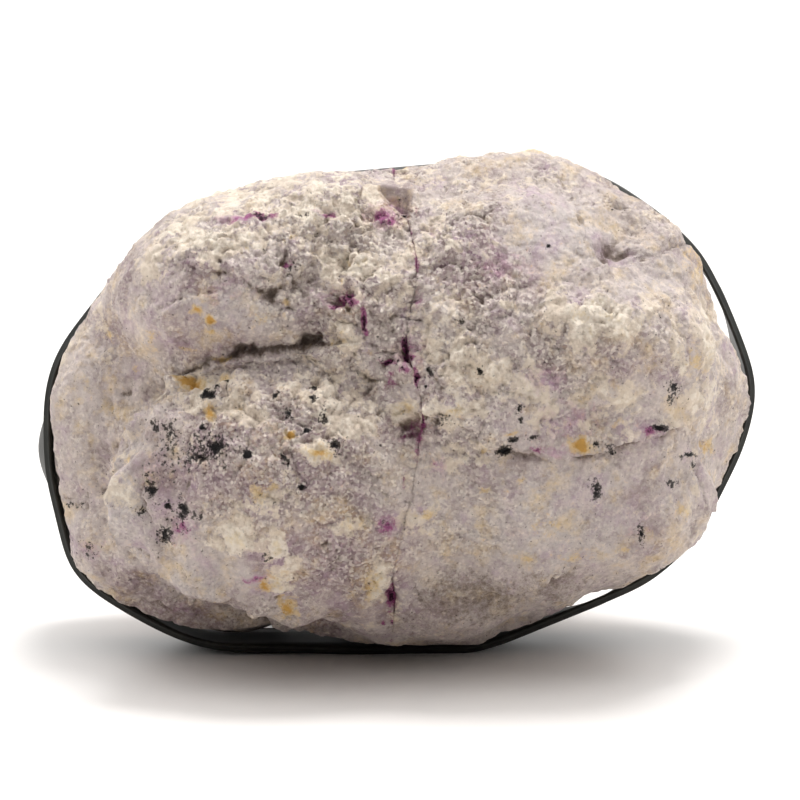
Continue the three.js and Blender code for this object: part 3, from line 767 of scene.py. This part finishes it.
def stone_fields(verts, normals, tris, rim_points, sizes):
    """How far each point of the skin stands out, its stains and crusts, and its painted shade."""
    places, front = on_face(verts, normals)
    back = 1 - front
    rim = nearest_distance(rim_points, verts)
    warp = shifts(verts, 3.0, (11, 12, 13))
    torn = places + 1.2 * warp[:, :2] + 0.6 * shifts(verts, 1.3, (16, 17))

    # Chalk settles where the tables say and on what faces up
    drift = 0.35 * noise(verts, 4.5, 21) + 0.3 * noise(verts, 1.6, 22) + 0.2 * noise(verts, 0.8, 23)
    settled = 0.15 * np.clip(normals[:, 2], -0.6, 1)
    elsewhere = back * (0.25 + 0.5 * noise(verts, 14.0, 24))
    chalk = front * 0.85 * blots(torn, CHALK, 1.3) + elsewhere + settled + drift

    # Coarse and smooth ground, and less of both where the stone is seen edge-on
    coarse = np.maximum(front * blots(places + 1.5 * warp[:, :2], COARSE), back * 0.5)
    coarse = np.clip(0.4 + 0.65 * coarse + 0.3 * noise(verts, 5.0, 34), 0.2, 1.2)
    coarse *= 1 - 0.35 * front * blots(places, CLEAR)
    smooth = smoothstep(1.3, 0.8, in_notch(places)) * front
    coarse *= 1 - 0.9 * smooth
    edge_on = smoothstep(0.45, 0.1, np.abs(normals @ BACKWARD))
    rough = sizes.roughness * coarse * (1 - 0.5 * edge_on)

    # Relief: the ground, the crust on it, the ledges and pits, and the worn rim of the break
    ledge, shadow, pit = ledges_and_pits(verts, places, torn, front)
    gape = blots(places, OPEN) * front
    wear = np.exp(-rim / 0.7) * (0.03 + 0.5 * gape + 0.15 * noise(verts, 2.2, 33))
    height = uneven_ground(verts, warp, coarse, rough) * (1 - 0.8 * smooth)
    height = height + 0.22 * smoothstep(0.2, 0.75, chalk) + ledge - pit - np.maximum(wear, 0)
    height = fitted(height, verts, places, front)

    # Painted shade, with some dirt in the hollows: hollows, pits, the ledges' feet, the SHADE patches and
    # the break's rim are darkened brown
    edges, _ = edges_of(tris)
    around = height.copy()
    for _ in range(14):
        around = averaged(around, edges, len(verts))
    hollow = smoothstep(0.05, 0.6, around - height) * 0.7 + smoothstep(0.2, 1.0, pit) * 0.5
    # Painted shadow at the ledges' feet and painted shade from the SHADE table
    hollow += 0.35 * shadow + 0.55 * blots(places + warp[:, :2], SHADE) * front
    hollow = np.maximum(hollow, np.exp(-rim / 0.3) * (0.2 + 0.6 * gape))

    lilac = front * blots(places + 2 * warp[:, :2], LILAC) + back * (0.3 + 0.4 * noise(verts, 12.0, 46))
    clear = front * blots(places + 1.5 * warp[:, :2], CLEAR) + back * (0.3 + 0.5 * noise(verts, 11.0, 47))
    fields = stains(verts, places, warp, front, rim)
    fields.update(
        chalk=chalk * (1 - smooth) + 0.3 * smooth - 0.35 * clear,
        hollow=np.clip(hollow * (1 - smooth), 0, 1),
        lilac=lilac, clear=clear, coarse=coarse)
    return height, rim, gape, fields


def build_half(node, side, material, sizes):
    """One half: the solid's skin, rounded and roughened, and its plain broken face."""
    verts, tris = node_mesh(node)
    middle, face = crossed(verts, tris)
    face /= np.linalg.norm(face, axis=1, keepdims=True)

    # Kind 1 is the broken face, which looks across; the notch's wall on the left half counts as skin
    chipped = (round_notch(on_face(middle, face)[0]) < 0.85) & ((CENTRE - middle) @ BACKWARD > 12.5)
    broken = (face[:, 0] * side > 0.8) & (np.abs(middle[:, 0] - CENTRE[0]) < 6)
    kinds = (broken & ~(chipped & (side > 0))).astype(int)

    def limits(coarse, fine):
        def limit_of(v, t, k):
            _, n = crossed(v, t)
            facing = (n[:, 2] * math.sin(LEAN) - n[:, 1] * math.cos(LEAN)) / np.linalg.norm(n, axis=1)
            return np.where(k == 1, BROKEN_DETAIL, np.where(facing > -0.05, fine, coarse))
        return limit_of

    def rounded(v, t, k, rounds):
        return relaxed(v, t, ~used_by(t[k == 1], len(v)) & (v[:, 2] >= FLAT_FOOT), rounds)

    verts, tris, kinds = split_long(verts, tris, kinds, limits(FIRST_DETAIL, FIRST_DETAIL))
    verts = rounded(verts, tris, kinds, 6)
    back, front = ((sizes.back_detail, sizes.front_detail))
    verts, tris, kinds = split_long(verts, tris, kinds, limits(back * 1.8, front * 1.8))
    verts = scooped(rounded(verts, tris, kinds, 3), tris, kinds)
    verts, tris, kinds = split_long(verts, tris, kinds, limits(back, front))

    skin = used_by(tris[kinds == 0], len(verts))
    broken = used_by(tris[kinds == 1], len(verts))
    chosen = np.flatnonzero(skin)
    renumber = np.full(len(verts), -1)
    renumber[chosen] = np.arange(len(chosen))
    skin_tris = renumber[tris[kinds == 0]]
    normals = normals_of(verts[chosen], skin_tris)
    height, rim, gape, fields = stone_fields(
        verts[chosen], normals, skin_tris, verts[skin & broken], sizes)

    # The rims keep to the break's line and close up to a hair's breadth, except where it gapes
    moved = verts.copy()
    moved[chosen] += normals * height[:, None]
    moved[chosen, 0] -= normals[:, 0] * height * np.exp(-rim / 0.4)
    moved[chosen, 0] += side * RIM_CLOSES * np.exp(-rim / 0.5) * (1 - 0.8 * gape)
    moved[broken & ~skin, 0] += side * FACE_CLOSES
    piece = new_piece(node + "_stone", moved, tris, material, node)

    # Near its rim the broken face is painted dark brown, as shade in the gaps between the halves, and
    # dyed; further in it is plain
    dust = np.exp(-(nearest_distance(verts[skin & broken], verts) / 4) ** 2) * ~skin
    for name, parts in FIELDS.items():
        bare = [0.4 * (1 - dust) + (part in ("hollow", "spot")) * dust for part in parts]
        whole = np.stack(bare + [np.ones(len(verts))], axis=1)
        whole[chosen, :3] = np.stack([fields[part] for part in parts], axis=1)
        layer = piece.data.attributes.new(name, "FLOAT_COLOR", "POINT")
        layer.data.foreach_set("color", whole.astype(np.float32).ravel())
    return piece


def hull_of(points):
    """The convex outline round points in a plane, in order."""
    ordered = sorted(map(tuple, points))

    def chain(run):
        kept = []
        for x, y in run:
            while len(kept) > 1:
                (ax, ay), (bx, by) = kept[-2:]
                if (bx - ax) * (y - ay) - (by - ay) * (x - ax) > 0:
                    break
                kept.pop()
            kept.append((x, y))
        return kept[:-1]

    return np.array(chain(ordered) + chain(reversed(ordered)))


def reach_of(outline, out):
    """How far an outline lies from the origin along each direction."""
    reach = np.zeros(len(out))
    for a, b in zip(outline, np.roll(outline, -1, axis=0)):
        e = b - a
        across = out[:, 0] * e[1] - out[:, 1] * e[0]
        across = np.where(np.abs(across) < 1e-9, 1e-9, across)
        r = (a[0] * e[1] - a[1] * e[0]) / across
        t = (a[0] * out[:, 1] - a[1] * out[:, 0]) / across
        reach = np.where((t >= -1e-6) & (t <= 1 + 1e-6) & (r > 0), np.maximum(reach, r), reach)
    return reach


def build_band(material, sizes):
    """The strip: the solid's outer path, smoothed along its length, with rounded edges."""
    verts, _ = node_mesh("rubber_band")
    depth = behind_band(verts)
    width = BAND_EDGES[1] - BAND_EDGES[0]
    thick = sizes.band_thickness * 1000
    middle = np.array([0.0, verts[:, 2].max() / 2])
    many = 440
    turn = np.linspace(0, 2 * math.pi, many, endpoint=False)
    out = np.stack([np.cos(turn), np.sin(turn)], axis=1)
    spread = np.exp(-0.5 * (np.minimum(turn, 2 * math.pi - turn) / 0.035) ** 2)
    soften = np.fft.rfft(spread / spread.sum())
    lines = [np.abs(depth - BAND_EDGES[0] - width * k / 3) < 0.6 for k in range(4)]
    rings = [verts[line][:, [0, 2]] - middle for line in lines]
    reach = np.array([np.fft.irfft(np.fft.rfft(reach_of(hull_of(r), out)) * soften, many) for r in rings])
    for direction, wide, lift, flare in BAND_FREE:
        share = np.exp(-(np.angle(np.exp(1j * (turn - direction))) / wide) ** 2)
        free = reach[0] + lift + flare * np.arange(4)[:, None] / 3
        reach += share * (free - reach)
    paths = middle + out * reach[:, :, None]
    paths[:, :, 1] = np.maximum(paths[:, :, 1], 0)

    # The strip's section: across its width from 0 to 1, then how far in from its outer face
    corner = 0.3
    section = []
    for end, inward, start in ((0, thick - corner, 180), (0, corner, 90), (1, corner, 0),
                               (1, thick - corner, -90)):
        for angle in np.radians(np.linspace(start, start - 90, 4)):
            edge = (width - corner if end else corner) + corner * math.cos(angle)
            section.append((edge / width, inward - corner * math.sin(angle)))
        if end == 0 and inward == corner:
            section += [(f, 0.0) for f in np.linspace(0.08, 0.92, 12)]
        if end == 1 and inward > corner:
            section += [(f, thick) for f in np.linspace(0.92, 0.08, 6)]
    rows = []
    for f, inward in section:
        spot = min(f * 3, 2.999)
        k = int(spot)
        path = paths[k] * (1 - spot + k) + paths[k + 1] * (spot - k)
        along = np.roll(path, -2, axis=0) - np.roll(path, 2, axis=0)
        normal = np.stack([along[:, 1], -along[:, 0]], axis=1) / np.linalg.norm(along, axis=1)[:, None]
        path = path - normal * inward
        back = BAND_EDGES[0] + width * f + path[:, 0] * BAND_TURN + path[:, 1] * BAND_SLOPE
        wave = noise(np.stack([path[:, 0], np.full(many, 9.0 * round(f)), path[:, 1]], axis=1), 9.0, 61)
        back = back + 0.35 * wave * (2 * abs(f - 0.5)) ** 3
        rows.append(np.stack([path[:, 0], back, path[:, 1]], axis=1))
    verts = np.array(rows).reshape(-1, 3)
    i, j = np.meshgrid(np.arange(len(section)), np.arange(many), indexing="ij")
    i2, j2 = (i + 1) % len(section), (j + 1) % many
    faces = np.stack([i * many + j, i * many + j2, i2 * many + j2, i2 * many + j], axis=-1).reshape(-1, 4)
    return new_piece("rubber_band_strip", verts, faces, material, "rubber_band")


def lay_floor(scene):
    """A wide pale floor with a faint gloss."""
    material, _, shader = new_material("Pale floor")
    shader.inputs["Base Color"].default_value = srgb(scene.geode_stage.floor_hex)
    shader.inputs["Roughness"].default_value = 0.3
    shader.inputs["Specular IOR Level"].default_value = 0.5
    mesh = bpy.data.meshes.new("Floor")
    mesh.from_pydata([(-40, -10, 0), (40, -10, 0), (40, 60, 0), (-40, 60, 0)], [], [(0, 1, 2, 3)])
    mesh.materials.append(material)
    floor = bpy.data.objects.new("Floor", mesh)
    scene.collection.objects.link(floor)


def light_studio(scene):
    """A white tent, open toward the camera, and one soft light overhead."""
    world = bpy.data.worlds.new("Studio")
    world.use_nodes = True
    tree = world.node_tree
    way = add(tree, "ShaderNodeTexCoord").outputs["Generated"]
    slope = worked(tree, "DOT_PRODUCT", way, TENT_SLOPE, vector=True)
    square = worked(tree, "MULTIPLY", way, way, vector=True)
    sides = worked(tree, "DOT_PRODUCT", square, TENT_SIDES, vector=True)
    level = worked(tree, "MAXIMUM", worked(tree, "ADD", slope, sides), TENT_LEAST)
    tree.links.new(level, tree.nodes["Background"].inputs["Strength"])
    tree.nodes["Background"].inputs["Color"].default_value = srgb("#ffffff")
    scene.world = world

    light = bpy.data.lights.new("Overhead", "SUN")
    light.angle = math.radians(20)
    light.energy = scene.geode_stage.key
    lamp = bpy.data.objects.new("Overhead", light)
    lamp.location = Vector(CENTRE / 1000) + Vector(LIGHT_FROM)
    lamp.rotation_euler = (-Vector(LIGHT_FROM)).to_track_quat("-Z", "Y").to_euler()
    scene.collection.objects.link(lamp)


def aim_camera(scene):
    """A camera square in front of the stone's face."""
    distance = scene.geode_stage.distance
    data = bpy.data.cameras.new("Camera")
    data.sensor_width = SENSOR_WIDTH
    data.lens = SENSOR_WIDTH * distance / PICTURE_WIDTH
    data.clip_end = 100
    camera = bpy.data.objects.new("Camera", data)
    camera.location = Vector(CENTRE / 1000) - Vector(BACKWARD) * distance
    camera.rotation_euler = Vector(BACKWARD).to_track_quat("-Z", "Y").to_euler()
    scene.collection.objects.link(camera)
    scene.camera = camera
    scene.view_settings.view_transform = "Standard"


class GeodeSizes(bpy.types.PropertyGroup):
    """Sizes and colours of the geode and its band."""

    front_detail: bpy.props.FloatProperty(
        name="Front detail", description="Longest edge of the mesh on the face, in millimetres",
        default=0.44, min=0.2, max=3.0)
    back_detail: bpy.props.FloatProperty(
        name="Back detail", description="Longest edge of the mesh elsewhere, in millimetres",
        default=0.72, min=0.3, max=3.0)
    roughness: bpy.props.FloatProperty(
        name="Roughness", description="How far crystals and crusts stand out",
        default=1.0, min=0.0, max=3.0, subtype="FACTOR")
    clear_hex: bpy.props.StringProperty(
        name="Clear calcite", description="Colour of the grey crystals", default="#bfb2ac")
    lilac_hex: bpy.props.StringProperty(
        name="Lilac calcite", description="Colour of the faintly dyed crystals", default="#998487")
    chalk_hex: bpy.props.StringProperty(
        name="Chalk", description="Colour of the cream crust", default="#ddcdb8")
    dye_hex: bpy.props.StringProperty(
        name="Dye", description="Colour of the soaked-in dye", default="#a04f8f")
    ochre_hex: bpy.props.StringProperty(
        name="Ochre", description="Colour of the iron stains", default="#bf8f3e")
    band_thickness: bpy.props.FloatProperty(
        name="Band thickness", description="Thickness of the rubber strip", default=0.0011, unit="LENGTH")
    rubber_hex: bpy.props.StringProperty(
        name="Rubber", description="Colour of the band", default="#1b1c18")


class GeodeStage(bpy.types.PropertyGroup):
    """Floor, light and camera."""

    floor_hex: bpy.props.StringProperty(
        name="Floor", description="Colour of the floor", default="#f0edea")
    key: bpy.props.FloatProperty(
        name="Key light", description="Strength of the soft light overhead", default=2.0, min=0.0)
    distance: bpy.props.FloatProperty(
        name="Camera distance", description="From the stone's centre", default=0.5, unit="LENGTH")


class GEODE_OT_halves(bpy.types.Operator):
    """Builds both halves of the stone"""

    bl_idname = "geode.halves"
    bl_label = "Stone halves"

    def execute(self, context):
        sizes = context.scene.geode_sizes
        material = calcite_material(sizes)
        for node, side in (("left_half", 1), ("right_half", -1)):
            build_half(node, side, material, sizes)
        return {"FINISHED"}


class GEODE_OT_band(bpy.types.Operator):
    """Builds the rubber band"""

    bl_idname = "geode.band"
    bl_label = "Rubber band"

    def execute(self, context):
        sizes = context.scene.geode_sizes
        build_band(rubber_material(sizes), sizes)
        return {"FINISHED"}


class GEODE_OT_stage(bpy.types.Operator):
    """Lays the floor, sets the lights and aims the camera"""

    bl_idname = "geode.stage"
    bl_label = "Stage"

    def execute(self, context):
        lay_floor(context.scene)
        light_studio(context.scene)
        aim_camera(context.scene)
        return {"FINISHED"}


class GEODE_PT_panel(bpy.types.Panel):
    """Lists the geode's sizes and steps"""

    bl_idname = "GEODE_PT_panel"
    bl_label = "Calcite geode"
    bl_space_type = "VIEW_3D"
    bl_region_type = "UI"
    bl_category = "Geode"

    def draw(self, context):
        for group in (context.scene.geode_sizes, context.scene.geode_stage):
            for name in group.__annotations__:
                self.layout.prop(group, name)
        for operator in (GEODE_OT_halves, GEODE_OT_band, GEODE_OT_stage):
            self.layout.operator(operator.bl_idname)


CLASSES = (GeodeSizes, GeodeStage, GEODE_OT_halves, GEODE_OT_band, GEODE_OT_stage, GEODE_PT_panel)


def register():
    for cls in CLASSES:
        bpy.utils.register_class(cls)
    bpy.types.Scene.geode_sizes = bpy.props.PointerProperty(type=GeodeSizes)
    bpy.types.Scene.geode_stage = bpy.props.PointerProperty(type=GeodeStage)


def unregister():
    del bpy.types.Scene.geode_stage
    del bpy.types.Scene.geode_sizes
    for cls in reversed(CLASSES):
        bpy.utils.unregister_class(cls)


def main():
    register()
    bpy.ops.geode.halves()
    bpy.ops.geode.band()
    bpy.ops.geode.stage()


if __name__ == "__main__":
    main()
